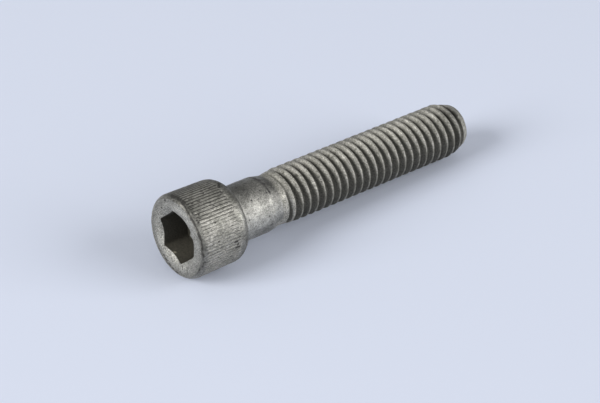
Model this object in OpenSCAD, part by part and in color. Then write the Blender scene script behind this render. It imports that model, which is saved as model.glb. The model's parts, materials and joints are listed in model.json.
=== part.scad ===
// Hex socket head cap screw, 3/8-16 UNC x 2 in, with a straight-knurled head.
// Millimetres. It stands on its head: the origin is the centre of the head's flat face,
// +Z runs up the shank to the tip, and +X passes through a corner of the hex socket.
// The screw is one forged, rolled and heat-treated piece, so it is one solid.

/* [Head] */
// Diameter over the knurl's crests, where the front rim's rounding ends
head_d = 14.16; // [13.8:0.02:14.26]
// How much narrower the head's side is where the rear rim's rounding starts
head_taper = 0.2; // [0.1:0.02:0.3]
// Height of the head
head_h = 9.4; // [9.35:0.05:9.55]
// How far the front rim draws in
front_rim_in = 0.55; // [0.3:0.05:0.6]
// Height of the front rim's rounding
front_rim_up = 1.1; // [0.8:0.05:1.2]
// How far the rear rim draws in
rear_rim_in = 0.55; // [0.4:0.05:0.6]
// Height of the rear rim's rounding
rear_rim_up = 1.4; // [1:0.05:1.5]

/* [Knurl] */
// Number of straight grooves round the head
groove_count = 80; // [60:1:90]
// Depth of a groove
groove_depth = 0.1; // [0.08:0.01:0.16]
// Half of a groove's width at the crests
groove_half_w = 0.1; // [0.08:0.01:0.16]
// Height above the face where the knurling tool starts, in front of where it first cuts the rim
groove_start = 0.35; // [0.3:0.05:0.4]
// Height above the face where the grooves end
groove_end = 7.75; // [6.5:0.05:7.8]

/* [Socket] */
// Width across the hex flats (5/16 in)
hex_af = 7.94; // [7.9:0.01:8]
// Depth of the full hexagon
hex_depth = 5; // [4.7:0.1:5.2]
// Depth of the cone below the hexagon
hex_cone = 1.1; // [0.6:0.1:1.3]
// Radius at which the mouth's rounding starts, where the punch drew the face in
mouth_r = 5.55; // [5.2:0.05:5.7]
// Depth of the rounding at the middle of a flat
mouth_depth = 0.55; // [0.4:0.05:0.7]

/* [Shank] */
// Length under the head
shank_l = 49.8; // [49.8:0.1:50.8]
// Diameter of the plain body
body_d = 9.5; // [9.4:0.01:9.52]
// Length of the plain body under the head
body_l = 6.95; // [5:0.05:8]
// Where the taper below the body reaches the neck, from under the head
neck_at = 9.1; // [8.4:0.1:9.1]
// Diameter of the neck
neck_d = 8.58; // [8.4:0.01:8.8]
// Radius of the fillet under the head
fillet_r = 0.5; // [0.3:0.05:0.6]

/* [Thread] */
// Pitch (16 threads to the inch)
pitch = 1.5875; // [1.5875]
// Diameter over the thread's crests
major_d = 9.4; // [9.25:0.01:9.49]
// Diameter at the thread's roots
minor_d = 7.6; // [7.5:0.01:7.8]
// Where the thread's crests start to rise out of the neck, from under the head
crest_start = 9.2; // [9.2:0.1:10]
// Length over which the crests rise to their full height
crest_grow = 2.8; // [1.6:0.1:2.9]
// Where the rolling die first presses its groove into the neck, from under the head
root_start = 9.5; // [9.4:0.1:10]
// Length over which the groove reaches its full depth
root_grow = 1.4; // [1.2:0.1:2]
// Length of the point, where the crests die away
point_l = 2.95; // [2:0.05:3.2]
// Diameter of the flat end
point_d = 7.43; // [7.2:0.01:7.5]
// Height of a crest over +X near the head, which sets how the thread is turned
crest_z = 17.36; // [17.1:0.01:17.6]

/* [Hidden] */
$fn = groove_count;                 // one facet of each turned surface to a groove, so all are cut alike
eps = 0.05;
front_r = head_d / 2;
rear_r = front_r - head_taper / 2;
mouth_arc = rim_r(mouth_depth, mouth_r - hex_af / 2);
mouth_lip = 0.004;                  // the rounding meets the face at a few degrees, not as a tangent
side_h = head_h - front_rim_up - rear_rim_up;
side_tilt = atan((front_r - rear_r) / side_h);
body_r = body_d / 2;
neck_r = neck_d / 2;
major_r = major_d / 2;
minor_r = minor_d / 2;
point_r = point_d / 2;
total_l = head_h + shank_l;
thread_z = head_h + crest_start;    // end of the plain neck
stub_l = 0.5;                       // solid end disc of the point
stub_z = total_l - stub_l;
seat = 0.06;                        // how far the thread's ends sit inside what they grow out of
thread_cols = 32;                   // facets round one turn
crest_w = 0.3;                      // width of the crest's flat
root_w = 0.4;                       // width of the rounded root
root_round = 0.09;                  // rise of the root's rounding
flank_w = (pitch - crest_w - root_w) / 2;   // a flank's width along the axis at full depth
flank_min = 0.04;                   // its least width, where the groove is shallow

// One pitch of the thread: [distance along the axis, 1 on the crest and 0 in the root,
// the way that this row moves where the groove is shallow]
profile = [
    [-crest_w / 2, 1, -1],
    [crest_w / 2, 1, 1],
    [(pitch - root_w) / 2, root_round / (major_r - minor_r), 0],
    [pitch / 2, 0, 0],
    [(pitch + root_w) / 2, root_round / (major_r - minor_r), 0]
];
rows_per_pitch = len(profile);

// 0 up to a, 1 from b on, straight between them
function ramp(z, a, b) = min(1, max(0, (z - a) / (b - a)));
function mix(a, b, t) = a + (b - a) * t;

// Radius of the point's cone, less the seat where the thread ends inside the end disc
function cone_at(z) = point_r + (total_l - z) * (major_r - point_r) / point_l
    - seat * ramp(z, stub_z - 0.4, stub_z - 0.1);

// The radii between which the thread runs at height z
root_z = head_h + root_start;
seat_r = neck_r - seat;
function crest_r(z) = min(cone_at(z), mix(seat_r, major_r, ramp(z, thread_z, thread_z + crest_grow)));
function root_r(z) = min(cone_at(z), mix(seat_r, minor_r, ramp(z, root_z, root_z + root_grow)));

// Point of the thread's surface on column i and row j. Rows run along the helix, so a crest is
// one unbroken edge. A groove keeps its flank angle where it is shallow, so the flats beside it
// are wide there. Past the last full height the rows turn in and cover the end as a flat spiral.
thread_end_z = total_l - stub_l / 2;
thread_rows = rows_per_pitch * ceil((thread_end_z - crest_z + crest_w) / pitch) + 1;
function row_z(i, j) = let (
        row = profile[j % rows_per_pitch],
        z = crest_z + pitch * (floor(j / rows_per_pitch) + i / thread_cols) + row[0],
        depth = (crest_r(z) - root_r(z)) / (major_r - minor_r)
    ) z + row[2] * min(flank_w * (1 - depth), flank_w - flank_min);
function row_r(z, out) = mix(root_r(z), crest_r(z), out)
    - max(0, min(z - thread_end_z, 2.2 * pitch));
function thread_point(i, j) = let (
        z = row_z(i, j),
        r = row_r(z, z > thread_end_z ? 1 : profile[j % rows_per_pitch][1]),
        a = 360 * i / thread_cols
    ) [r * cos(a), r * sin(a), min(z, thread_end_z)];

// Arc radius that draws in by `inset` over `rise` and ends along the wall
function rim_r(inset, rise) = (inset * inset + rise * rise) / (2 * inset);

// Corner between the head's face and its side that the rim's arc takes away, with the face at 0
module rim_corner(r, inset, rise) {
    difference() {
        translate([r - inset, -1]) square([inset + 1, rise + 1]);
        translate([r - rim_r(inset, rise), rise]) circle(rim_r(inset, rise));
    }
}

// Half section of the head
module head_section() {
    difference() {
        polygon([
            [0, 0],
            [front_r, 0],
            [front_r, front_rim_up],
            [rear_r, head_h - rear_rim_up],
            [rear_r, head_h],
            [0, head_h]
        ]);
        rim_corner(front_r, front_rim_in, front_rim_up);
        translate([0, head_h]) mirror([0, 1]) rim_corner(rear_r, rear_rim_in, rear_rim_up);
    }
}

// Half section of the fillet, the plain body, the taper and the neck
module shank_section() {
    difference() {
        translate([0, head_h - eps]) square([body_r + fillet_r, fillet_r + eps]);
        translate([body_r + fillet_r, head_h + fillet_r]) circle(fillet_r);
    }
    polygon([
        [0, head_h - eps],
        [body_r, head_h - eps],
        [body_r, head_h + body_l],
        [neck_r, head_h + neck_at],
        [neck_r, thread_z],
        [0, thread_z]
    ]);
}

// V grooves that the knurling rolls into the head's side, along its taper.
// They run out on the front rim.
module knurl_grooves() {
    start_r = mix(front_r, rear_r, (groove_start - front_rim_up) / side_h);
    open_w = groove_half_w * (1 + eps / groove_depth);
    for (i = [0 : groove_count - 1])
        rotate(360 * (i + 0.5) / groove_count)
            translate([start_r, 0, groove_start])
                rotate([0, -side_tilt, 0])
                    linear_extrude(groove_end - groove_start)
                        polygon([[-groove_depth, 0], [eps, -open_w], [eps, open_w]]);
}

// Hexagonal socket with its rounded mouth and its coned bottom
module hex_socket() {
    hex_r = hex_af / 2 / cos(30);
    translate([0, 0, -1]) linear_extrude(hex_depth + 1) circle(hex_r, $fn = 6);
    rotate_extrude() polygon([
        [0, hex_depth - eps],
        [hex_af / 2, hex_depth - eps],
        [hex_af / 2, hex_depth],
        [0, hex_depth + hex_cone]
    ]);
    rotate_extrude() difference() {
        translate([0, -eps]) square([mouth_r, mouth_depth + eps]);
        translate([mouth_r, mouth_arc - mouth_lip]) circle(mouth_arc);
    }
}

// Right-hand helical thread, a closed skin from inside the neck to inside the end disc
module helical_thread() {
    n = thread_cols;
    m = rows_per_pitch;
    rows = thread_rows;
    points = [
        for (j = [0 : rows], i = [0 : n - 1]) thread_point(i, j),
        [0, 0, crest_z + pitch / 2],
        [0, 0, thread_end_z]
    ];
    low_mid = (rows + 1) * n;
    high_mid = low_mid + 1;
    // Index of column i, row j: past the last column the helix meets the first, one turn up
    function at(i, j) = i < n ? j * n + i : (j + m) * n;
    low_edge = concat(
        [for (i = [0 : n]) at(i, 0)],
        [for (j = [m - 1 : -1 : 0]) at(0, j)]
    );
    high_edge = concat(
        [for (i = [0 : n - 1]) at(i, rows)],
        [for (j = [1 : m]) at(n - 1, rows - j)],
        [at(0, rows)]
    );
    faces = concat(
        [for (j = [0 : rows - 1], i = [0 : n - 1]) if (i < n - 1 || j < rows - m)
            each [
                [at(i, j), at(i, j + 1), at(i + 1, j + 1)],
                [at(i, j), at(i + 1, j + 1), at(i + 1, j)]
            ]],
        [for (k = [0 : len(low_edge) - 2]) [low_mid, low_edge[k], low_edge[k + 1]]],
        [for (k = [0 : len(high_edge) - 2]) [high_mid, high_edge[k + 1], high_edge[k]]]
    );
    polyhedron(points, faces, convexity = 10);
}

// Solid end disc of the point, on the same cone as the crests
module point_disc() {
    rotate_extrude() polygon([
        [0, stub_z],
        [point_r + stub_l * (major_r - point_r) / point_l, stub_z],
        [point_r, total_l],
        [0, total_l]
    ]);
}

module cap_screw() {
    color([0.50, 0.49, 0.45]) {
        difference() {
            rotate_extrude() {
                head_section();
                shank_section();
            }
            knurl_grooves();
            hex_socket();
        }
        helical_thread();
        point_disc();
    }
}

cap_screw();
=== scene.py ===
import json
import math
import bpy
import numpy as np
from mathutils import Matrix, Vector


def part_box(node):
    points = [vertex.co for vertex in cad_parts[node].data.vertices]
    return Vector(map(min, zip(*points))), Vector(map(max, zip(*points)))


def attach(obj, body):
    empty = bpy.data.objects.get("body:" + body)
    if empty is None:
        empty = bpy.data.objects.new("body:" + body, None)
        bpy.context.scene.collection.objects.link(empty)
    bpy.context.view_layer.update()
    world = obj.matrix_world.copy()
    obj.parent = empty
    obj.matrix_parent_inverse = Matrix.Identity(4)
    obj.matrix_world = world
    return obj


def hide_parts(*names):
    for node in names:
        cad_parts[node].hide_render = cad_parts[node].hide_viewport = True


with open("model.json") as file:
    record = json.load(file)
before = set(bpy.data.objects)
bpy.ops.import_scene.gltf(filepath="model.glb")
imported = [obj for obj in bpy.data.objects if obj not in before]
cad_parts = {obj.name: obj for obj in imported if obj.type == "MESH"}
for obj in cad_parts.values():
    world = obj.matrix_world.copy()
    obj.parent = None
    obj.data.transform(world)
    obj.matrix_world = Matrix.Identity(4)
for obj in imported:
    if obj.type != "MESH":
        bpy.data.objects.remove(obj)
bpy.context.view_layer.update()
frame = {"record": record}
print("frame loaded")

mounts = {m["name"]: m for m in frame["record"]["mounts"]}
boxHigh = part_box("cap_screw")[1]
mm = 0.001

# Sizes in millimetres. The driving ones come from the frame, the rest are the screw's own.
screw = {
    "headRadius": boxHigh.x / mm,       # over the front of the head's side
    "rearRadius": 6.98,                 # at the rear of it
    "headHeight": mounts["bearing_face"]["pos_m"][2] / mm,
    "bodyRadius": mounts["plain_body"]["dims"]["r_mm"],
    "length": boxHigh.z / mm,
    "hexAcrossFlats": 7.94,
    "hexDepth": 5.0,
    "hexConeDepth": 1.1,
    "hexConeWidth": 0.97,               # share of the width across the flats
    "hexCornerCut": 0.08,               # how far a hex corner is rounded off
    "mouthRadius": 5.55,                # where the socket's rounded mouth starts on the face
    "mouthDepth": 0.55,                 # how deep it is at the middle of a flat
    "mouthLip": 0.004,                  # the shallowest part of it, which stays level with the face
    "frontRim": (0.55, 1.1),            # drawn in, up
    "rearRim": (0.55, 1.4),
    "grooves": 80,
    "grooveDepth": 0.12,
    "grooveHalfWidth": 0.1,
    "grooveEnd": 7.75,
    "knurlWear": 0.85,                  # how much shallower the grooves are where the head is worn
    "wornAt": math.radians(-42),
    "wornSpread": 0.3,                  # square of how far round the wear reaches, in radians
    "fillet": 0.5,
    "bodyEnd": 6.95,                    # this one and the next five are measured from under the head
    "neckAt": 9.1,
    "crestsFrom": 9.2,
    "crestsTo": 12.0,
    "rootsFrom": 9.5,
    "rootsTo": 10.9,
    "neckRadius": 4.29,
    "pitch": 1.5875,
    "crestRadius": 4.7,
    "rootRadius": 3.8,
    "crestHeight": 17.36,               # a crest's height over +X near the head
    "pointLength": 2.95,
    "pointRadius": 3.715,
    "endInset": 0.06,                   # the first row across the end stands this far in, and each next one
    "endStep": 0.12,                    # this much further
    "flankRun": 0.444,                  # how far a row would move along the screw for a groove of no depth
    "flankLimit": 0.4,                  # and the most that it does
    "threadFrom": 0.55,                 # the rows along the helix start this far before the first crest
    "headColumns": 480,
    "bodyColumns": 256,
    "threadColumns": 128,
    "socketColumns": 240,
}

# One pitch of the thread: millimetres from the crest's middle, share of the depth, and the share by which
# the row moves away from the crest where the groove is shallow, so that a flank keeps its angle
threadRows = [
    (-0.15, 0.97, -1), (0, 1, 0), (0.15, 0.97, 1),
    (0.2, 0.89, 0.89), (0.37, 0.55, 0.5), (0.55, 0.19, 0.1),
    (0.66, 0.035, 0), (0.794, 0, 0), (0.928, 0.035, 0),
    (1.038, 0.19, -0.1), (1.218, 0.55, -0.5), (1.388, 0.89, -0.89),
]


# 0 below a, 1 above b, and an S curve between them
def smooth(x, a, b):
    t = np.clip((x - a) / (b - a), 0, 1)
    return t * t * (3 - 2 * t)


# 0 below a, 1 above b, straight between them
def ramp(x, a, b):
    return np.clip((x - a) / (b - a), 0, 1)


# The radius of an arc that draws in by inset over rise and ends along the wall
def rimRadius(inset, rise):
    return (inset * inset + rise * rise) / (2 * inset)


# Smooth noise, mostly between -1 and 1: the sum of many cosine waves, each about size long, of seeded
# directions and phases
def waveNoise(points, size, seed, waves=24):
    rng = np.random.default_rng(seed)
    direction = rng.normal(size=(waves, 3))
    direction /= np.linalg.norm(direction, axis=1)[:, None]
    length = size * rng.uniform(0.7, 1.5, waves)
    phase = rng.uniform(0, 2 * math.pi, waves)
    angle = points @ (direction / length[:, None]).T * (2 * math.pi) + phase
    return np.cos(angle).sum(-1) / math.sqrt(waves)


# The skin grows ring by ring. Each ring or grid is rows along by columns round, in radius, angle and
# height. cavity is 1 deep in a groove, edge is 1 on a crest or rim that rubs.
skinLists = ("points", "cavity", "edge", "quads", "triangles", "quadSlots", "triangleSlots")
skin = {name: [] for name in skinLists}


# Adds a grid of points and gives back the index of each
def addGrid(radius, angle, height, cavity=0.0, edge=0.0):
    radius, angle, height, cavity, edge = np.broadcast_arrays(radius, angle, height, cavity, edge)
    points = np.stack([radius * np.cos(angle), radius * np.sin(angle), height], -1)
    first = sum(len(p) for p in skin["points"])
    skin["points"].append(points.reshape(-1, 3))
    skin["cavity"].append(cavity.reshape(-1))
    skin["edge"].append(edge.reshape(-1))
    return first + np.arange(cavity.size).reshape(cavity.shape)


# Faces of four corners, each corner an array of point indices
def addQuads(a, b, c, d, slot):
    quads = np.stack([a, b, c, d], -1).reshape(-1, 4)
    skin["quads"].append(quads)
    skin["quadSlots"].append(np.full(len(quads), slot))


# Faces of three corners, where a single index is a corner of them all
def addTriangles(a, b, c, slot):
    triangles = np.stack(np.broadcast_arrays(a, b, c), -1).reshape(-1, 3)
    skin["triangles"].append(triangles)
    skin["triangleSlots"].append(np.full(len(triangles), slot))


# Closes each row of a grid round the axis, and fills between one row and the next
def fillRings(grid, slot):
    right = np.roll(grid, -1, axis=1)
    addQuads(grid[:-1], right[:-1], right[1:], grid[1:], slot)


# Fills between a ring of n points and one of m: in the order of their half steps round, each step of
# either ring makes one triangle with the point that the other ring has reached
def joinRings(lower, upper, slot):
    n, m = len(lower), len(upper)
    halfSteps = np.concatenate([(np.arange(n) + 0.5) / n, (np.arange(m) + 0.5) / m])
    order = np.argsort(halfSteps, kind="stable")
    onLower = order < n
    i, j = np.cumsum(onLower) - onLower, np.cumsum(~onLower) - ~onLower
    third = np.where(onLower, lower[(i + 1) % n], upper[(j + 1) % m])
    addTriangles(lower[i % n], third, upper[j % m], slot)


# Column angles, from +X
def turn(columns):
    return np.arange(columns)[None, :] * 2 * math.pi / columns


# The socket, from the middle of its bottom to the face: a cone, the hexagon's floor and walls, the
# rounded mouth. A hexagon's radius at an angle is half its width over the cosine of the angle from the
# nearest flat's middle.
def buildSocket(s):
    angle = turn(s["socketColumns"])
    half = s["hexAcrossFlats"] / 2
    fromFlat = np.mod(angle, math.pi / 3) - math.pi / 6
    hexagon = np.minimum(half / np.cos(fromFlat), half / math.cos(math.pi / 6) - s["hexCornerCut"])
    bottom = s["hexDepth"] + s["hexConeDepth"]
    middle = addGrid(np.zeros((1, 1)), 0.0, bottom, 1.0)[0, 0]
    share = np.linspace(0.15, 1, 6)[:, None]
    cone = addGrid(half * s["hexConeWidth"] * share, angle, bottom - s["hexConeDepth"] * share, 1.0)
    addTriangles(middle, np.roll(cone[0], -1), cone[0], "socket")
    fillRings(cone, "socket")
    # The mouth is an arc that leaves the face at the mouth's radius
    arc = rimRadius(s["mouthDepth"], s["mouthRadius"] - half)
    out = np.concatenate([[0], np.linspace(0.07, 1, 13)])[:, None]
    mouthR = hexagon + (s["mouthRadius"] - hexagon) * out
    mouth = np.maximum(arc - s["mouthLip"] - np.sqrt(arc ** 2 - (s["mouthRadius"] - mouthR) ** 2), 0)
    down = np.linspace(0, 1, 12)[:, None] ** 0.8
    height = s["hexDepth"] + (mouth[0] - s["hexDepth"]) * down
    walls = addGrid(hexagon, angle, height, 0.35 + 0.65 * ramp(height, 0.3, 3.0))
    joinRings(cone[-1], walls[0], "socket")
    fillRings(walls, "socket")
    rounding = addGrid(mouthR[1:], angle, mouth[1:], 0.0, np.exp(-out[1:] / 0.15))
    joinRings(walls[-1], rounding[0], "face")
    fillRings(rounding, "face")
    return rounding[-1]


# Radius of the head's side at a height, without its grooves: the tapered wall, inside both rims' arcs
def wallRadius(s, height):
    top = s["headHeight"]
    (inset, up), (rearInset, rearUp) = s["frontRim"], s["rearRim"]
    taper = s["headRadius"] + (s["rearRadius"] - s["headRadius"]) * (height - up) / (top - up - rearUp)
    arc, rearArc = rimRadius(inset, up), rimRadius(rearInset, rearUp)
    front = np.clip(up - height, 0, up)
    rear = np.clip(height - top + rearUp, 0, rearUp)
    wall = np.minimum(taper, s["headRadius"]) - arc + np.sqrt(arc ** 2 - front ** 2)
    rearIn = np.maximum(s["rearRadius"], taper) - rearArc + np.sqrt(rearArc ** 2 - rear ** 2)
    return np.minimum(wall, rearIn), taper


# The head's outside: flat face, rim arc, knurled side, rim arc and bearing face.
# A groove's floor is a V below the tapered wall, so it runs out where the front rim's arc falls below it.
def buildHead(s, inner):
    top, edge = s["headHeight"], s["headRadius"] - s["frontRim"][0]
    angle = turn(s["headColumns"])
    flat = np.linspace(s["mouthRadius"] + 0.1, edge - 0.08, 9)[:, None]
    face = addGrid(flat, angle, np.zeros_like(flat))
    joinRings(inner, face[0], "face")
    fillRings(face, "face")

    up, rearUp, end = s["frontRim"][1], s["rearRim"][1], s["grooveEnd"]
    front = up * np.linspace(0, 1, 9) ** 1.2
    grooved = np.linspace(up + 0.2, end - 0.3, 32)
    rear = np.linspace(top - rearUp + 0.1, top, 14)
    height = np.concatenate([front, grooved, [end - 0.1, end + 0.05], rear])[:, None]
    # Each groove has six columns: the ridge before it, its edge, half way down, its floor, half way up, its
    # other edge. across is their place in shares of the way from one groove to the next.
    step = 0.5 * s["grooveHalfWidth"] * s["grooves"] / (2 * math.pi * s["headRadius"])
    across = np.array([-0.5, -2 * step, -step, 0, step, 2 * step])
    pitchTurn = 2 * math.pi / s["grooves"]
    angle = ((np.arange(s["grooves"])[:, None] + 0.5 + across).reshape(1, -1)) * pitchTurn
    across = np.tile(across, s["grooves"])[None, :]
    vee = np.clip(1 - np.abs(across) / (2 * step), 0, 1)
    wall, taper = wallRadius(s, height)
    fade = 1 - smooth(height, end - 0.25, end + 0.05)
    fromWorn = (angle - s["wornAt"] + math.pi) % (2 * math.pi) - math.pi
    worn = 1 - s["knurlWear"] * np.exp(-fromWorn ** 2 / s["wornSpread"])
    floor = taper - s["grooveDepth"] * vee * worn
    radius = wall - np.maximum(wall - floor, 0) * (vee > 0) * fade
    cavity = (1 - 2 * np.abs(across)) * fade * ramp(height, 0.35, 0.75)
    side = addGrid(radius, angle, height, cavity, np.exp(-((height - 0.1) / 0.15) ** 2))
    joinRings(face[-1], side[0], "face")
    fillRings(side, "head")

    inward = np.linspace(wall[-1, 0], s["bodyRadius"] + s["fillet"], 5)[1:3, None]
    under = addGrid(inward, turn(s["headColumns"]), np.full_like(inward, top))
    joinRings(side[-1], under[0], "head")
    fillRings(under, "head")
    return under[-1]


# Radius of the shank at a height: body, taper, neck, then between root and crest by the thread's share of
# depth, and never outside the point's cone. Also how deep the thread is there, as a share of all of it.
def shankRadius(s, z, out):
    body = np.interp(z, [s["bodyEnd"], s["neckAt"]], [s["bodyRadius"], s["neckRadius"]])
    crest = body + (s["crestRadius"] - s["neckRadius"]) * ramp(z, s["crestsFrom"], s["crestsTo"])
    root = body - (s["neckRadius"] - s["rootRadius"]) * ramp(z, s["rootsFrom"], s["rootsTo"])
    end = s["length"] - s["headHeight"]
    cone = s["pointRadius"] + (end - z) * (s["crestRadius"] - s["pointRadius"]) / s["pointLength"]
    depth = (crest - root) / (s["crestRadius"] - s["rootRadius"])
    return np.minimum(root + (crest - root) * out, cone), depth


# Fillet and plain body as rings, then the neck and thread as rows that run along the helix: column i of
# row j stands pitch x (whole turns + i / columns) up, so the last column of a row meets the first one
# turn on.
def buildShank(s, outer):
    top, bodyR, fillet, pitch = s["headHeight"], s["bodyRadius"], s["fillet"], s["pitch"]
    angle = turn(s["bodyColumns"])
    bend = np.linspace(0, math.pi / 2, 5)[:, None]
    curve = addGrid(bodyR + fillet * (1 - np.sin(bend)), angle, top + fillet * (1 - np.cos(bend)), 0.5)
    joinRings(outer, curve[0], "head")
    fillRings(curve, "shank")
    threadFrom = s["crestHeight"] - s["threadFrom"]
    height = np.linspace(top + fillet, threadFrom, 50)[1:, None]
    body = addGrid(shankRadius(s, height - top, 1.0)[0], angle, height)
    joinRings(curve[-1], body[0], "shank")
    fillRings(body, "shank")

    columns = s["threadColumns"]
    angle = turn(columns)
    offset, share, away = np.array(threadRows).T
    perPitch = len(threadRows)
    turns = math.ceil((s["length"] - s["crestHeight"]) / pitch) + 1
    row = np.arange(perPitch * turns)[:, None]
    lift = np.arange(columns)[None, :] / columns
    z = s["crestHeight"] + pitch * (row // perPitch + lift) + offset[row % perPitch]
    shallow = 1 - shankRadius(s, z - top, 1.0)[1]
    z = z + away[row % perPitch] * np.minimum(s["flankRun"] * shallow, s["flankLimit"])
    out = share[row % perPitch] + 0 * lift
    # In each column the row nearest the end stands on the end's rim, and those after it turn in across
    # the end
    last = np.abs(z - s["length"]).argmin(0)[None, :]
    past = row - last
    height = np.where(past < 0, np.minimum(z, s["length"] - 0.02), s["length"])
    rowRadius, depth = shankRadius(s, height - top, out)
    radius = np.where(past < 0, rowRadius, s["pointRadius"] - s["endInset"] - s["endStep"] * past)
    grown = np.where(past < 0, ramp(depth, 0, 0.6), 0)
    fromCrest = (offset + pitch / 2) % pitch - pitch / 2
    rubbed = (smooth(fromCrest, -0.35, 0.1) * (share > 0.8))[row % perPitch] * grown
    thread = addGrid(radius, angle, height, (1 - out) * grown, rubbed)
    lower = np.linspace(0, 1, 9)[1:-1, None]
    between = threadFrom + (z[:1] - threadFrom) * lower
    patch = addGrid(shankRadius(s, between - top, 1.0)[0], angle, between)
    joinRings(body[-1], patch[0], "shank")
    fillRings(patch, "shank")
    addQuads(patch[-1, :-1], patch[-1, 1:], thread[0, 1:], thread[0, :-1], "shank")
    addTriangles(patch[-1, -1], patch[-1, 0], thread[0, -1], "shank")
    step = thread[:perPitch + 1, 0]
    addTriangles(thread[0, -1], patch[-1, 0], step[0], "shank")
    addTriangles(thread[0, -1], step[:-1], step[1:], "shank")
    addQuads(thread[:-1, :-1], thread[:-1, 1:], thread[1:, 1:], thread[1:, :-1], "thread")
    a, b = thread[:-1, -1], thread[:, 0]
    n = len(a) - perPitch
    b, bNext = b[perPitch:perPitch + n], b[perPitch + 1:perPitch + 1 + n]
    addQuads(a[:n], b, bNext, thread[1:n + 1, -1], "thread")
    middle = addGrid(np.zeros((1, 1)), 0.0, s["length"])[0, 0]
    loop = np.concatenate([thread[-1], thread[::-1, -1][1:perPitch + 1]])
    addTriangles(loop, np.roll(loop, -1), middle, "thread")


slots = ["face", "head", "shank", "thread", "socket"]


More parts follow.
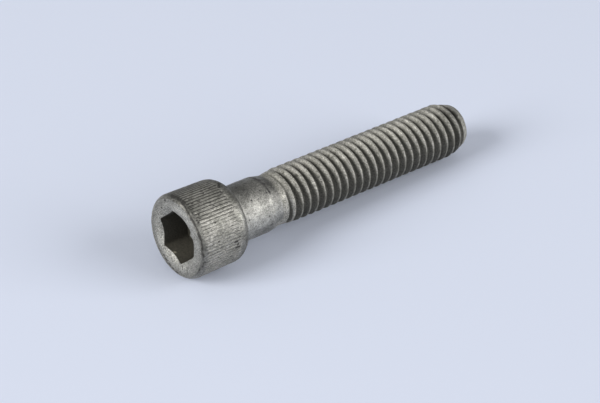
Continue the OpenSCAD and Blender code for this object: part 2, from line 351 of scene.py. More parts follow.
# Marks of age and use, one row each, in millimetres and degrees from +X. The first value is the way along
# the skin from the front rim's edge: up the screw, or less than 0 inwards over the face and down the
# socket. Then come the angle, half its length along the screw, half its width round it, its depth and how
# dark it is.
marks = [
    # spots on the face, nicks at its edge, and a burr at a hex corner
    (-0.33, -134.3, 0.17, 0.29, 0.04, 1.3),
    (-1.24, -152.4, 0.17, 0.31, 0.03, 1.0),
    (-1.69, 54.4, 0.29, 0.12, 0.04, 1.3),
    (-1.28, 54, 0.18, 0.12, 0.04, 1.1),
    (-0.71, 106, 0.2, 0.35, 0.02, 0.85),
    (-0.6, 99, 0.2, 0.4, 0.02, 1.0),
    (-0.45, 88.4, 0.22, 0.45, 0.02, 1.0),
    (-0.35, 80.5, 0.2, 0.35, 0.02, 0.9),
    (-0.2, 70.7, 0.2, 0.45, 0.02, 0.95),
    (-0.3, 118, 0.25, 0.5, 0.0, 0.6),
    (-0.78, 11, 0.15, 0.4, 0.0, 0.55),
    (0.08, 10, 0.17, 0.7, 0.0, 0.7),
    (-0.91, 139, 0.14, 0.3, 0.0, 0.55),
    (-0.79, 122, 0.12, 0.25, 0.0, 0.55),
    (-3.9, 94.7, 0.15, 0.2, 0.0, 1.0),
    (-2.8, -49.5, 0.3, 0.4, -0.28, 0.0),
    # spots on the front rim
    (0.5, -119, 0.5, 1.2, 0.0, 0.7),
    (0.6, -108, 0.45, 1.2, 0.0, 0.72),
    (0.75, -97, 0.4, 0.8, 0.0, 0.7),
    (0.65, -87, 0.3, 0.6, 0.0, 0.52),
    (0.62, -78, 0.25, 0.5, 0.0, 0.55),
    (0.5, -41, 0.2, 0.25, 0.0, 0.5),
    (0.35, -17, 0.22, 0.3, 0.0, 0.65),
    (0.5, -8, 0.25, 0.4, 0.0, 0.55),
    (0.67, -66.7, 0.18, 0.2, 0.02, 0.9),
    (0.72, -63.2, 0.2, 0.2, 0.03, 1.1),
    # a comma-shaped nick on the rear rim
    (7.71, -100, 0.15, 0.24, 0.06, 1.8),
    (7.99, -102.8, 0.17, 0.28, 0.1, 2.0),
    (8.35, -105.9, 0.2, 0.3, 0.1, 2.0),
    (8.84, -109, 0.24, 0.26, 0.06, 1.7),
    (9.1, -100, 0.2, 0.6, 0.0, 0.9),
    (8.73, -13.6, 0.22, 0.5, 0.0, 0.8),
    (9.0, 6.5, 0.25, 1.0, 0.0, 0.6),
    # residue in single grooves of the knurl
    (1.68, -90.9, 0.26, 0.16, 0.03, 1.3),
    (2.88, -90.3, 0.39, 0.14, 0.03, 1.0),
    (4.57, -100.2, 0.27, 0.18, 0.03, 1.2),
    (4.67, -104.5, 0.35, 0.17, 0.02, 1.0),
    (2.04, -98.6, 0.5, 0.15, 0.02, 0.9),
    (2.5, -84.9, 0.39, 0.13, 0.02, 0.9),
    (1.04, -86, 0.33, 0.15, 0.02, 0.9),
    (0.97, -92, 0.28, 0.16, 0.02, 0.9),
    (6.22, -104.3, 0.29, 0.17, 0.02, 1.0),
    (7.46, -105.9, 0.31, 0.23, 0.02, 0.9),
    (7.49, -90.2, 0.39, 0.16, 0.02, 1.1),
    (6.52, -86, 0.39, 0.13, 0.02, 1.0),
    (4.44, -82.4, 0.24, 0.2, 0.02, 0.9),
    (4.64, -76.7, 0.27, 0.15, 0.02, 0.9),
    (1.43, -72.2, 0.16, 0.3, 0.02, 0.8),
    (1.29, -67.4, 0.35, 0.12, 0.02, 0.8),
    (3.48, -55.8, 0.24, 0.12, 0.02, 0.8),
    (6.31, -43.6, 0.35, 0.12, 0.02, 0.85),
    (5.92, -40, 0.22, 0.12, 0.02, 0.7),
    (5.94, -33.7, 0.18, 0.14, 0.02, 0.75),
    (7.5, -43.2, 0.17, 0.21, 0.0, 0.65),
    (7.11, -34.5, 0.2, 0.18, 0.02, 0.65),
    (6.71, -32.2, 0.2, 0.14, 0.02, 0.65),
    (3.23, -30.7, 0.27, 0.14, 0.02, 0.85),
    (3.25, -26.4, 0.2, 0.15, 0.02, 0.85),
    (2.07, -32.1, 0.2, 0.5, 0.0, 0.45),
    (3.23, -40.9, 0.12, 0.5, 0.0, 0.5),
    (6.59, -20.3, 0.42, 0.16, 0.03, 1.3),
    (6.93, -15.3, 0.24, 0.24, 0.02, 0.9),
    (6.72, -10.9, 0.29, 0.18, 0.03, 1.2),
    (7.16, -10.6, 0.27, 0.18, 0.03, 1.1),
    (4.63, -10, 0.16, 0.4, 0.0, 0.6),
    (7.32, -25.5, 0.22, 0.21, 0.0, 0.65),
    (6.14, -8.7, 0.55, 0.41, 0.0, 0.45),
    # pits and stains on the plain body
    (16.2, -111, 0.2, 0.4, 0.02, 1.0),
    (16.42, -104.5, 0.24, 0.34, 0.02, 1.4),
    (16.5, -91, 0.25, 0.28, 0.02, 1.4),
    (17.1, -88, 0.15, 0.15, 0.02, 1.0),
    (16.43, -71.5, 0.18, 0.27, 0.03, 1.6),
    (14.06, -112.7, 0.9, 0.6, 0.0, 0.5),
    (12.02, -108, 0.8, 0.6, 0.0, 0.5),
    (12.64, -97.1, 0.6, 0.5, 0.0, 0.5),
    (15.16, -92.3, 0.25, 0.5, 0.0, 0.55),
    (15.88, -71.5, 0.18, 0.18, 0.03, 1.05),
    (14.99, -80.9, 0.2, 0.16, 0.02, 0.8),
    (12.66, -67.8, 0.16, 0.16, 0.04, 0.9),
    (13.95, -65.9, 0.16, 0.16, 0.04, 1.0),
    (11.34, -65.3, 0.14, 0.14, 0.03, 0.7),
    (11.09, -33.9, 0.15, 0.18, 0.03, 0.8),
    (15.05, -25.2, 0.17, 0.17, 0.04, 1.0),
    (15.26, -17.6, 0.17, 0.15, 0.03, 0.85),
    (12.92, -16.8, 0.2, 0.14, 0.02, 0.65),
    (12.32, -15.5, 0.2, 0.27, 0.02, 0.55),
    (11.97, -13.2, 0.24, 0.18, 0.0, 0.5),
    (13.24, -1.5, 0.5, 0.45, 0.0, 0.4),
    (14.4, 4, 0.8, 0.6, 0.0, 0.45),
    (15.64, -3, 0.5, 0.4, 0.0, 0.5),
    (13.1, 10, 0.8, 0.5, 0.0, 0.45),
    (18.1, 8, 0.6, 0.5, 0.0, 0.5),
    # spots and pits on the thread
    (29.57, -44.5, 0.17, 0.17, 0.02, 1.1),
    (26.34, -60.8, 0.15, 0.15, 0.02, 1.1),
    (28.03, -44.4, 0.15, 0.15, 0.02, 1.1),
    (26.46, -49.8, 0.15, 0.15, 0.02, 1.1),
    (26.45, -39.1, 0.15, 0.15, 0.02, 1.0),
    (30.78, -102.4, 0.13, 0.18, 0.02, 0.9),
    (30.92, -92.3, 0.15, 0.15, 0.02, 0.9),
    (26.03, -32.7, 0.15, 0.15, 0.02, 1.0),
    (26.5, -73.8, 0.15, 0.15, 0.02, 1.1),
    (22.98, -82.6, 0.15, 0.17, 0.02, 1.0),
    (21.31, -104, 0.15, 0.2, 0.02, 1.0),
    (48.4, -30.5, 0.5, 0.6, 0.0, 1.2),
    (47.2, -18.2, 0.3, 0.4, 0.0, 1.0),
    (33.89, -50.7, 0.15, 0.15, 0.02, 1.1),
    (57.85, -76, 0.45, 0.4, 0.0, 1.0),
    (57.8, -84, 0.5, 0.5, 0.0, 0.8),
    (57.9, -62, 0.25, 0.5, 0.0, 0.8),
]

# Dark lines that wander round the screw, each as points of angle, way, half width and darkness in the
# order of the angle. Between the points all of it changes evenly.
seams = [
    # along the front rim
    [(-110, 0.5, 0.3, 0.3), (-103, 0.5, 0.3, 0.65), (-95, 0.42, 0.25, 0.7), (-88, 0.3, 0.18, 0.65),
     (-80, 0.2, 0.16, 0.75), (-72, 0.16, 0.16, 0.6), (-66, 0.18, 0.19, 0.76), (-59, 0.18, 0.17, 0.56),
     (-52, 0.2, 0.18, 0.68), (-45, 0.22, 0.2, 0.78), (-38, 0.22, 0.2, 0.6), (-31, 0.2, 0.19, 0.75),
     (-24, 0.2, 0.22, 0.6), (-16, 0.22, 0.24, 0.56), (-8, 0.3, 0.26, 0.44), (3, 0.35, 0.28, 0.5),
     (14, 0.4, 0.3, 0)],
    # where the plain body ends
    [(-140, 16.0, 0.5, 0), (-124, 16.1, 0.5, 0.5), (-112, 16.15, 0.55, 0.6), (-105, 16.2, 0.55, 0.56),
     (-97, 16.3, 0.5, 0.5), (-89, 16.4, 0.45, 0.58), (-81, 16.4, 0.35, 0.46), (-74, 16.4, 0.25, 0.6),
     (-62, 16.35, 0.15, 0.4), (-42, 16.22, 0.12, 0.32), (-18, 15.9, 0.15, 0.4), (-4, 15.75, 0.3, 0.5),
     (10, 15.7, 0.3, 0)],
    # beside the thread's start, and in its first groove
    [(-125, 19.3, 0.09, 0), (-107, 19.25, 0.1, 0.65), (-91, 19.07, 0.1, 0.7), (-63, 19.06, 0.1, 0.6),
     (-50, 19.05, 0.1, 0)],
    [(-70, 19.4, 0.12, 0), (-52, 19.5, 0.14, 0.9), (-41, 19.6, 0.17, 1.2), (-13, 19.85, 0.22, 1.4),
     (15, 20.1, 0.26, 1.4), (60, 20.3, 0.26, 0)],
]

# Lines right round the screw: way, half width, depth, darkness, how much brighter
rings = [
    (0.02, 0.1, 0.0, 0.42, 0.0),        # where the rim meets the face
    (-0.35, 0.45, 0.0, 0.0, -0.16),     # the face's outer part
    (9.33, 0.06, 0.0, 0.9, 0.0),        # painted shade along the rear rim's edge, where the head meets the body
    (16.36, 0.06, 0.012, 0.3, 0.0),     # where the body ends
]

# Broad soft patches that are brighter (above 0) or duller: way, angle, half length, half width, amount.
# Most of them are painted light and shade, by side and where the steel shines; the rest are the steel's own
# tone.
patches = [
    (-1.9, 88, 0.5, 1.0, -0.26),        # painted shade in the middle of the socket mouth's highlight, painted light at its sides
    (-1.7, 90, 0.7, 2.4, -0.08),
    (-1.5, 52, 0.6, 1.0, 0.22),
    (-1.5, 130, 0.6, 1.2, 0.28),
    (-0.9, -85, 0.9, 3.0, 0.22),        # the top of the face
    (-0.4, 15, 1.2, 3.4, -0.1),         # its right
    (-0.3, 170, 0.5, 6.0, -0.2),        # its left
    (-0.3, 90, 0.45, 4.0, -0.3),        # its bottom
    (-4.5, 90, 3.5, 2.4, 0.6),          # painted light on the socket's lower flat, which faces the light
    (-3.43, 94, 0.13, 0.17, 8.0),       # a bright speck in it
    (0.55, -82, 0.45, 2.6, -0.48),      # the front rim: its dark patina, and a painted highlight where it shines
    (0.6, -48, 0.35, 0.8, 0.35),
    (0.6, -32, 0.35, 1.0, -0.3),
    (0.5, -112, 0.6, 1.8, -0.5),
    (0.5, -5, 0.6, 3.0, -0.2),
    (0.4, 160, 0.6, 6.5, 0.5),
    (3.0, -130, 3.5, 2.2, -0.2),        # the knurl's top
    (4.0, -97, 3.6, 2.6, 0.65),
    (4.0, -60, 3.4, 2.2, 0.32),         # painted highlight on its side where it shines
    (4.0, -12, 3.4, 2.2, 0.2),          # painted light on its lower side
    (8.5, -108, 0.8, 3.0, -0.4),
    (8.6, -80, 0.7, 2.4, -0.36),
    (8.35, -51, 0.45, 1.2, 1.0),        # painted highlight on the rear rim
    (8.7, -5, 0.8, 3.4, -0.4),
    (12.5, -106, 2.4, 2.2, -0.47),      # the body's top: a dark stain, and painted shade
    (13.0, -50, 3.0, 1.4, 0.2),         # painted highlight on its side, and painted glints in it
    (15.86, -54.4, 0.25, 0.5, 0.5),
    (14.2, -48, 0.6, 0.4, 0.35),
    (13.0, -22, 3.0, 2.2, 0.4),         # painted light on its lower side, and painted shade under it
    (14.6, 6, 2.0, 1.1, -0.2),
    (18.55, -51.3, 0.25, 0.7, 0.5),     # the neck: a painted highlight, and painted light and shade by side
    (17.5, -92, 0.85, 2.5, -0.6),
    (17.6, -40, 0.8, 1.0, 0.15),
    (17.6, -8, 0.9, 1.2, -0.18),
    (16.1, -100, 0.9, 2.6, -0.25),
    (39, -145, 22, 1.5, -0.35),         # the thread: painted light and shade by side
    (39, -104, 22, 2.4, 0.3),
    (57, -88, 2.2, 2.0, -0.38),
    (56.7, -20, 0.8, 1.6, -0.3),
    # painted glints on the thread
    (24.89, -54.1, 0.15, 0.15, 0.9),
    (24.95, -43.3, 0.15, 0.15, 0.7),
    (21.69, -51.6, 0.15, 0.15, 0.9),
    (32.63, -80.5, 0.18, 0.18, 0.8),
    (48.82, -59.1, 0.18, 0.17, 0.8),
    (45.25, -82.8, 0.18, 0.19, 0.8),
]

# Where the grooves of the knurl are filled darker, or less where below 0, in rows like the patches
soil = [
    (4, -102, 5, 3.0, 0.26),
    (4.5, -40, 4.5, 4.5, -0.26),
]

# The thread is grimy and has painted shade round its underside, the side that the screw lay on, and less so
# on its crests: the middle of that side, how far round the grime and shade start and are full, how far they
# fill the grooves and cover the crests, and how much darker the grooves are on the other sides, painted
# shade deep in them
grime = {
    "angle": 20,
    "from": 108,
    "full": 30,
    "fill": 0.8,
    "crests": 1.0,
    "darker": 0.65,
    "starts": (11, 12),     # from none to all of it, up from under the head
    "end": (1.5, 0.3),      # how far in across the end it evens out, and to how much
    "point": (1.3, 0.8),    # from all to most of it rubbed off, down from the end
    "rubbedOff": 0.7,
}

# The skin's unevenness: how long its waves are, and how deep
broadWaves = (1.6, 0.008)
shortWaves = (0.7, 0.006)
edgeWaves = (0.9, 0.018)    # on crests and rims
deepestWaves = 0.05

# Small dents scattered at random: how many, from and to along the skin, half size, depth and darkness of
# the largest
scatter = [
    (80, -2.2, 0.0, 0.16, 0.018, 0.65),     # face
    (50, -0.2, 0.6, 0.25, 0.02, 0.7),       # front rim
    (110, 0.7, 7.6, 0.24, 0.03, 0.55),      # knurl
    (24, 7.8, 9.3, 0.28, 0.03, 0.5),        # rear rim
    (80, 9.9, 18.4, 0.16, 0.03, 0.6),       # body and neck
    (1100, 18.6, 58.9, 0.14, 0.02, 1.0),    # thread
    (40, 59.3, 62.3, 0.22, 0.025, 0.7),     # end
]


# Dents the skin along its normals, and says how dark and how dull each point is, painted light and shade
# included. A mark fades as exp(-d^2), where d is the distance over its half sizes. Broad low waves make the
# skin uneven. All of it but the burr goes inwards.
def wear(points, normals, fields, s):
    x, y, z = points.T
    radius = np.hypot(x, y)
    inside = (radius < s["headRadius"] - s["frontRim"][0]) & (z < s["hexDepth"] + s["hexConeDepth"] + 0.1)
    way = np.where(inside, radius - s["headRadius"] + s["frontRim"][0] - z, z)
    atEnd = z > s["length"] - 0.001
    way = way + atEnd * (s["pointRadius"] - radius)
    angle = np.degrees(np.arctan2(y, x))
    rng = np.random.default_rng(7)
    rows = [np.array(marks)]
    for count, low, high, size, depth, dark in scatter:
        scale = rng.uniform(0.35, 1, (count, 1)) ** 1.5
        shape = rng.uniform(0.6, 1.4, (count, 2)) * size
        place = np.column_stack([rng.uniform(low, high, count), rng.uniform(-180, 180, count)])
        rows.append(np.hstack([place, shape * scale, depth * scale, dark * scale]))
    dent, stain, tone = np.zeros((3, len(points)))

    # The points near a patch and how much of it each one has
    def nearby(place, around, along, across):
        near = np.flatnonzero((np.abs(way - place) < 3 * along) & (atEnd == (place > s["length"])))
        off = np.mod(angle[near] - around + 180, 360) - 180
        d = ((way[near] - place) / along) ** 2 + (np.radians(off) * radius[near] / across) ** 2
        return near, np.exp(-d)

    for place, around, along, across, depth, dark in np.concatenate(rows):
        near, fall = nearby(place, around, along, across)
        dent[near] += depth * fall
        stain[near] = np.maximum(stain[near], dark * fall)
    for place, width, depth, dark, amount in rings:
        fall = np.exp(-((way - place) / width) ** 2)
        dent += depth * fall
        stain = np.maximum(stain, dark * fall)
        tone += amount * fall
    # the patches: painted light and shade, painted highlights and glints, and the steel's own tone
    for place, around, along, across, amount in patches:
        near, fall = nearby(place, around, along, across)
        tone[near] += amount * fall
    for seam in seams:
        around, line, width, dark = np.array(seam).T
        off = (way - np.interp(angle, around, line)) / np.interp(angle, around, width)
        stain = np.maximum(stain, np.interp(angle, around, dark) * np.exp(-off ** 2))
    side = np.abs(np.mod(angle - grime["angle"] + 180, 360) - 180)
    starts, stops = grime["starts"]
    grimy = 1 - smooth(side, grime["full"], grime["from"])
    grimy = grimy * ramp(z, s["headHeight"] + starts, s["headHeight"] + stops)
    reach, evened = grime["end"]
    grimy = grimy + (evened - grimy) * atEnd * ramp(way, s["length"], s["length"] + reach)
    # The film is residue with painted shade over the thread's underside, crests included, and goes into the
    # grooves' fill
    film = grimy * (1 - fields["edge"] * (1 - grime["crests"] * grimy))
    threaded = z > s["headHeight"] + s["crestsFrom"]
    below, above = grime["point"]
    kept = 1 - grime["rubbedOff"] * ramp(z, s["length"] - below, s["length"] - above) * (1 - atEnd)
    # painted shade deep in the thread's grooves on the other sides
    tone -= grime["darker"] * (1 - grimy) * fields["cavity"] ** 2 * threaded * kept
    cavity = (fields["cavity"] + grime["fill"] * film) * kept
    for place, around, along, across, amount in soil:
        near, fall = nearby(place, around, along, across)
        cavity[near] += amount * fall * (cavity[near] > 0)
    (broad, broadDeep), (short, shortDeep), (rough, roughDeep) = broadWaves, shortWaves, edgeWaves
    uneven = broadDeep * (1 + waveNoise(points, broad, 3)) + shortDeep * (1 + waveNoise(points, short, 4))
    ragged = roughDeep * fields["edge"] * np.clip(waveNoise(points, rough, 5) + 0.3, 0, 2)
    # The socket's walls take dents but stay even
    inSocket = inside & (radius < 4.7) & (z > 0.6)
    push = dent + (np.clip(uneven, 0, deepestWaves) + ragged) * ~inSocket
    fields.update(stain=stain, tone=np.maximum(tone, -0.9), cavity=cavity)
    return points - normals * push[:, None]


# The screw: socket, head and shank as one closed skin, then its wear and its painted light and shade, kept
# on each point for the finish
def buildScrew(s):
    buildShank(s, buildHead(s, buildSocket(s)))
    points = np.concatenate(skin["points"])
    quads, triangles = np.concatenate(skin["quads"]), np.concatenate(skin["triangles"])
    mesh = bpy.data.meshes.new("capScrewSkin")
    mesh.from_pydata((points * mm).tolist(), [], quads.tolist() + triangles.tolist())
    names = np.concatenate(skin["quadSlots"] + skin["triangleSlots"])
    mesh.polygons.foreach_set("material_index", np.array([slots.index(n) for n in names]))
    normals = np.empty(points.size, np.float32)
    mesh.vertex_normals.foreach_get("vector", normals)
    fields = {name: np.concatenate(skin[name]) for name in ("cavity", "edge")}
    points = wear(points, normals.reshape(-1, 3), fields, s)
    mesh.vertices.foreach_set("co", (points * mm).ravel())
    for name, values in fields.items():
        mesh.attributes.new(name, "FLOAT", "POINT").data.foreach_set("value", values.astype(np.float32))
    mesh.shade_smooth()
    mesh.set_sharp_from_angle(angle=math.radians(40))
    mesh.validate()
    piece = bpy.data.objects.new("capScrew", mesh)
    bpy.context.scene.collection.objects.link(piece)
    print("screw built:", len(points), "points,", 2 * len(quads) + len(triangles), "triangles")
    return piece


capScrew = buildScrew(screw)


# A node of a tree. A value that is another node's output is linked, and any other is set on the socket.
def addNode(tree, kind, inputs, **settings):
    node = tree.nodes.new("ShaderNode" + kind)
    for key, value in settings.items():
        setattr(node, key, value)
    for key, value in inputs.items():
        if isinstance(value, bpy.types.NodeSocket):
            tree.links.new(value, node.inputs[key])
        else:
            node.inputs[key].default_value = value
    return node


# One step of arithmetic on up to three values
def calc(tree, operation, a, b=0.0, c=0.0):
    return addNode(tree, "Math", {0: a, 1: b, 2: c}, operation=operation).outputs[0]


# 0 below low, 1 above high and an S curve between them
def band(tree, value, low, high):
    inputs = {"Value": value, "From Min": low, "From Max": high}
    return addNode(tree, "MapRange", inputs, interpolation_type="SMOOTHSTEP").outputs["Result"]


# Colour a where the factor is 0 and b where it is 1
def blendColors(tree, factor, a, b):
    return addNode(tree, "Mix", {0: factor, 6: a, 7: b}, data_type="RGBA").outputs[2]


# Noise of a size in millimetres on the object's own coordinates
def sizedNoise(tree, place, size, detail, roughness=0.6):
    scale = calc(tree, "DIVIDE", 1 / mm, size)
    inputs = {"Vector": place, "Scale": scale, "Detail": detail, "Roughness": roughness}
    return addNode(tree, "TexNoise", inputs).outputs[0]


# An empty node group with its sockets, each a name and a kind
def newGroup(name, inputs, outputs):
    group = bpy.data.node_groups.new(name, "ShaderNodeTree")
    for direction, sockets in (("INPUT", inputs), ("OUTPUT", outputs)):
        for socketName, kind in sockets:
            group.interface.new_socket(socketName, in_out=direction, socket_type="NodeSocket" + kind)
    return group


# Old rolled steel: clouds of a brighter and a duller metal, a grain of fine pits, dark residue that fills
# the grooves up to a ragged line, stains with ragged outlines, and crests and rims rubbed bright. The
# residue, stains and tone from the skin carry painted light and shade as well.
def agedSteelGroup():
    sizes = ("Cloud Size", "Grain Size", "Grain Stretch", "Grain", "Roughness", "Residue", "Rubbed")
    inputs = [(name, "Color") for name in ("Bright", "Dull", "Dark")]
    inputs += [(name, "Float") for name in sizes + ("Stain", "Tone", "Cavity", "Edge")]
    outputs = [("Color", "Color"), ("Roughness", "Float"), ("Metallic", "Float"), ("Height", "Float")]
    group = newGroup("agedSteel", inputs, outputs)
    put = group.nodes.new("NodeGroupInput").outputs
    place = group.nodes.new("ShaderNodeTexCoord").outputs["Object"]
    clouds = sizedNoise(group, place, put["Cloud Size"], 4, 0.65)
    upward = calc(group, "DIVIDE", 1.0, put["Grain Stretch"])
    stretch = addNode(group, "CombineXYZ", {0: 1.0, 1: 1.0, 2: upward}).outputs[0]
    along = addNode(group, "VectorMath", {0: place, 1: stretch}, operation="MULTIPLY").outputs["Vector"]
    grain = sizedNoise(group, along, put["Grain Size"], 3, 0.7)
    ragged = sizedNoise(group, place, calc(group, "MULTIPLY", put["Grain Size"], 2.2), 3, 0.65)
    metal = blendColors(group, band(group, clouds, 0.38, 0.62), put["Bright"], put["Dull"])
    shade = calc(group, "MULTIPLY_ADD", calc(group, "SUBTRACT", grain, 0.5), put["Grain"], 1.0)
    outline = calc(group, "MULTIPLY_ADD", ragged, 0.9, calc(group, "MULTIPLY_ADD", grain, 0.8, -0.85))
    fill = calc(group, "MULTIPLY_ADD", outline, 0.8, put["Cavity"])
    # Dark residue in the grooves, with the painted shade that the skin's cavity carries
    residue = band(group, calc(group, "ADD", fill, put["Residue"]), 1.0, 1.35)
    # Dark stains, and the painted shade at the rear rim's edge
    stain = band(group, calc(group, "ADD", outline, put["Stain"]), 0.28, 0.62)
    dirt = calc(group, "MAXIMUM", residue, stain)
    rubbed = calc(group, "MULTIPLY", put["Edge"], put["Rubbed"])
    rubbed = calc(group, "MULTIPLY", rubbed, band(group, ragged, 0.4, 0.58))
    color = blendColors(group, rubbed, metal, put["Bright"])
    color = blendColors(group, calc(group, "MULTIPLY", dirt, 0.92), color, put["Dark"])
    # The tone scales the colour: painted light and shade, and the steel's own tone
    tone = calc(group, "MULTIPLY", calc(group, "ADD", put["Tone"], 1.0), shade)
    color = addNode(group, "VectorMath", {0: color, "Scale": tone}, operation="SCALE").outputs["Vector"]
    roughness = calc(group, "MULTIPLY_ADD", calc(group, "SUBTRACT", clouds, 0.5), 0.35, put["Roughness"])
    roughness = calc(group, "MULTIPLY_ADD", dirt, 0.2, roughness)
    pits = sizedNoise(group, place, calc(group, "MULTIPLY", put["Grain Size"], 1.4), 1)
    pits = band(group, pits, 0.66, 0.74)
    height = calc(group, "MULTIPLY_ADD", pits, -0.5, calc(group, "MULTIPLY_ADD", ragged, 0.8, grain))
    metallic = calc(group, "MULTIPLY_ADD", dirt, -0.8, 1.0)
    values = {"Color": color, "Roughness": roughness, "Metallic": metallic, "Height": height}
    out = group.nodes.new("NodeGroupOutput")
    for name, value in values.items():
        group.links.new(value, out.inputs[name])
    return group


agedSteel = agedSteelGroup()

# Each finish is one material of the shared group. Colours are linear, sizes in millimetres.
bumpDepth = 0.09 * mm
finishes = {
    "face": {
        "Bright": (0.4, 0.39, 0.35, 1), "Dull": (0.32, 0.312, 0.282, 1),
        "Dark": (0.06, 0.055, 0.05, 1),
        "Cloud Size": 1.2, "Grain Size": 0.22, "Grain Stretch": 1.0, "Grain": 3.6,
        "Roughness": 0.6, "Residue": 0.2, "Rubbed": 0.5, "bump": 1.4,
    },
    "head": {
        "Bright": (0.3, 0.291, 0.262, 1), "Dull": (0.235, 0.23, 0.204, 1),
        "Dark": (0.025, 0.023, 0.02, 1),
        "Cloud Size": 1.8, "Grain Size": 0.24, "Grain Stretch": 1.8, "Grain": 2.6,
        "Roughness": 0.55, "Residue": 0.42, "Rubbed": 0.3, "bump": 1.0,
    },
    "shank": {
        "Bright": (0.352, 0.344, 0.315, 1), "Dull": (0.263, 0.258, 0.236, 1),
        "Dark": (0.045, 0.042, 0.042, 1),
        "Cloud Size": 1.7, "Grain Size": 0.2, "Grain Stretch": 1.0, "Grain": 2.6,
        "Roughness": 0.5, "Residue": 0.3, "Rubbed": 0.3, "bump": 1.0,
    },
    "thread": {
        "Bright": (0.42, 0.407, 0.367, 1), "Dull": (0.35, 0.34, 0.302, 1),
        "Dark": (0.102, 0.098, 0.081, 1),
        "Cloud Size": 1.8, "Grain Size": 0.22, "Grain Stretch": 1.0, "Grain": 3.2,
        "Roughness": 0.66, "Residue": 0.44, "Rubbed": 0.2, "bump": 1.1,
    },
    "socket": {
        "Bright": (0.2, 0.185, 0.14, 1), "Dull": (0.14, 0.13, 0.1, 1),
        "Dark": (0.05, 0.046, 0.035, 1),
        "Cloud Size": 1.2, "Grain Size": 0.3, "Grain Stretch": 1.0, "Grain": 1.5,
        "Roughness": 0.7, "Residue": 1.3, "Rubbed": 0.0, "bump": 0.8,
    },
}


# A finish on the shader, with the skin's own stains, tone, grooves and rubbed edges, which carry painted
# light and shade as well, and the grain as a bump
def steelMaterial(name, finish):
    material = bpy.data.materials.new(name + "Steel")
    material.use_nodes = True
    tree = material.node_tree
    shader = tree.nodes["Principled BSDF"]
    inputs = {key: value for key, value in finish.items() if key != "bump"}
    for key in ("Stain", "Tone", "Cavity", "Edge"):
        inputs[key] = addNode(tree, "Attribute", {}, attribute_name=key.lower()).outputs["Fac"]
    aged = addNode(tree, "Group", inputs, node_tree=agedSteel)
    relief = {"Strength": finish["bump"], "Distance": bumpDepth, "Height": aged.outputs["Height"]}
    bump = addNode(tree, "Bump", relief)
    for key, value in (("Base Color", aged.outputs["Color"]), ("Roughness", aged.outputs["Roughness"]),
                       ("Metallic", aged.outputs["Metallic"]), ("Normal", bump.outputs["Normal"])):
        tree.links.new(value, shader.inputs[key])
    return material


for name in slots:
    capScrew.data.materials.append(steelMaterial(name, finishes[name]))
print("finishes made")
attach(capScrew, "root")
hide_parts("cap_screw")

# How the screw lies before the camera: on the rim of its head and the start of its point, on a level table.
# Angles in degrees. Places are in the table's squares, x to the right, y away and z up. The camera's lens
# and sensor are in millimetres.
lying = {
    "square": 25.527 * mm,
    "shankAzimuth": 38.1255,
    "shankTilt": 2.7526,
    "turn": 105.0,              # from the screw's uppermost side round to its +X
    "head": (-0.7402, 0.254),
    "headRest": 0.3487,         # how far up the head its lowest point is
    "headRadius": 0.2758,
}
view = {
    "lens": 123.46,
    "sensor": 36,
    "place": (-0.32619, -9.92276, 7.76227),
    "yaw": 1.93,
    "pitch": 35.25,
    "roll": 1.03,
}


# The direction at an azimuth, anticlockwise from the right, and a height above level
def toward(azimuth, height):
    level = math.cos(height)
    return Vector((math.cos(azimuth) * level, math.sin(azimuth) * level, math.sin(height)))


# The table's frame seen from the screw's: three rows, the screw's X, Y and Z in the table's directions,
# and the head's face in the middle
def tableFrame(p):
    azimuth, tilt, spin = (math.radians(p[k]) for k in ("shankAzimuth", "shankTilt", "turn"))
    axis = toward(azimuth, -tilt)
    side = axis.cross(Vector((0, 0, 1))).normalized()
    upward = side.cross(axis)
    x = upward * math.cos(spin) + side * math.sin(spin)
    y = axis.cross(x)
    z = p["headRest"] * math.sin(tilt) + p["headRadius"] * math.cos(tilt)
    origin = Vector((*p["head"], z)) * p["square"]
    turned = Matrix((x, y, axis)).to_4x4()
    return turned @ Matrix.Translation(-origin)


fromTable = tableFrame(lying)


# A camera over the table, turned right by yaw and down by pitch, then rolled about where it looks
def buildCamera(v):
    yaw, pitch, roll = (math.radians(v[k]) for k in ("yaw", "pitch", "roll"))
    forward = toward(math.pi / 2 - yaw, -pitch)
    right = Vector((math.cos(yaw), -math.sin(yaw), 0))
    up = right.cross(forward)
    rolledRight = right * math.cos(roll) + up * math.sin(roll)
    rolledUp = up * math.cos(roll) - right * math.sin(roll)
    turned = Matrix((rolledRight, rolledUp, -forward)).transposed().to_4x4()
    data = bpy.data.cameras.new("camera")
    data.lens, data.sensor_width = v["lens"], v["sensor"]
    data.clip_start, data.clip_end = 0.01, 20
    camera = bpy.data.objects.new("camera", data)
    camera.matrix_world = fromTable @ Matrix.Translation(Vector(v["place"]) * lying["square"]) @ turned
    bpy.context.scene.collection.objects.link(camera)
    bpy.context.scene.camera = camera


buildCamera(view)

stageColor = (0.70, 0.745, 0.865)


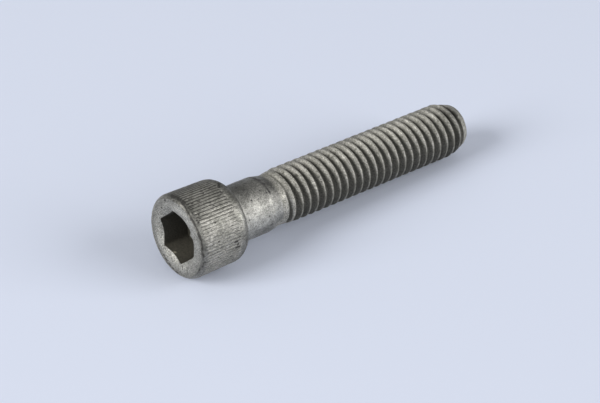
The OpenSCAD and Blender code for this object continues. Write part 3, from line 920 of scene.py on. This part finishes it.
# A large square seen from its front only: its back lets everything through
def buildFloor(name, matrix, size):
    half = size / 2
    mesh = bpy.data.meshes.new(name)
    corners = [(-half, -half, 0), (half, -half, 0), (half, half, 0), (-half, half, 0)]
    mesh.from_pydata([matrix @ Vector(c) for c in corners], [], [(0, 1, 2, 3)])
    floor = bpy.data.objects.new(name, mesh)
    bpy.context.scene.collection.objects.link(floor)
    material = bpy.data.materials.new(name + "Paint")
    material.use_nodes = True
    nodes, links = material.node_tree.nodes, material.node_tree.links
    paint = nodes["Principled BSDF"]
    paint.inputs["Base Color"].default_value = (*stageColor, 1)
    paint.inputs["Roughness"].default_value = 0.9
    paint.inputs["Specular IOR Level"].default_value = 0.1
    clear = nodes.new("ShaderNodeBsdfTransparent")
    mix = nodes.new("ShaderNodeMixShader")
    side = nodes.new("ShaderNodeNewGeometry")
    links.new(side.outputs["Backfacing"], mix.inputs["Fac"])
    links.new(paint.outputs["BSDF"], mix.inputs[1])
    links.new(clear.outputs["BSDF"], mix.inputs[2])
    links.new(mix.outputs["Shader"], nodes["Material Output"].inputs["Surface"])
    mesh.materials.append(material)
    return floor


floorSize = 3.0
groundHeight = -0.0001      # just under the standing screw
buildFloor("table", fromTable, floorSize)
ground = buildFloor("ground", Matrix.Translation((0, 0, groundHeight)), floorSize)
# Only the camera sees the ground, so it doesn't shade the screw or throw light on it
for ray in ("diffuse", "glossy", "transmission", "shadow", "volume_scatter"):
    setattr(ground, "visible_" + ray, False)

# Two soft boxes stand left and right of the table, both on the near side. Azimuth anticlockwise from the
# right, and height above level, in degrees. Distance and size in metres, power in watts.
lamps = {
    "left": {"azimuth": 209, "height": 30, "distance": 1.6, "size": 0.85, "power": 21.2},
    "right": {"azimuth": 343, "height": 25, "distance": 1.6, "size": 1.15, "power": 17.3},
}


# A square lamp at a distance from the screw's head, facing it
def buildLamp(name, p):
    away = toward(math.radians(p["azimuth"]), math.radians(p["height"]))
    data = bpy.data.lights.new(name, "AREA")
    data.shape, data.size, data.energy = "SQUARE", p["size"], p["power"]
    lamp = bpy.data.objects.new(name, data)
    facing = away.to_track_quat("Z", "Y").to_matrix().to_4x4()
    lamp.matrix_world = fromTable @ Matrix.Translation(away * p["distance"]) @ facing
    bpy.context.scene.collection.objects.link(lamp)


for name, values in lamps.items():
    buildLamp(name, values)

world = bpy.data.worlds.new("room")
world.use_nodes = True
world.node_tree.nodes["Background"].inputs["Color"].default_value = (0.95, 0.97, 1.0, 1)
world.node_tree.nodes["Background"].inputs["Strength"].default_value = 0.35
bpy.context.scene.world = world
bpy.context.scene.view_settings.view_transform = "Standard"
print("stage built")
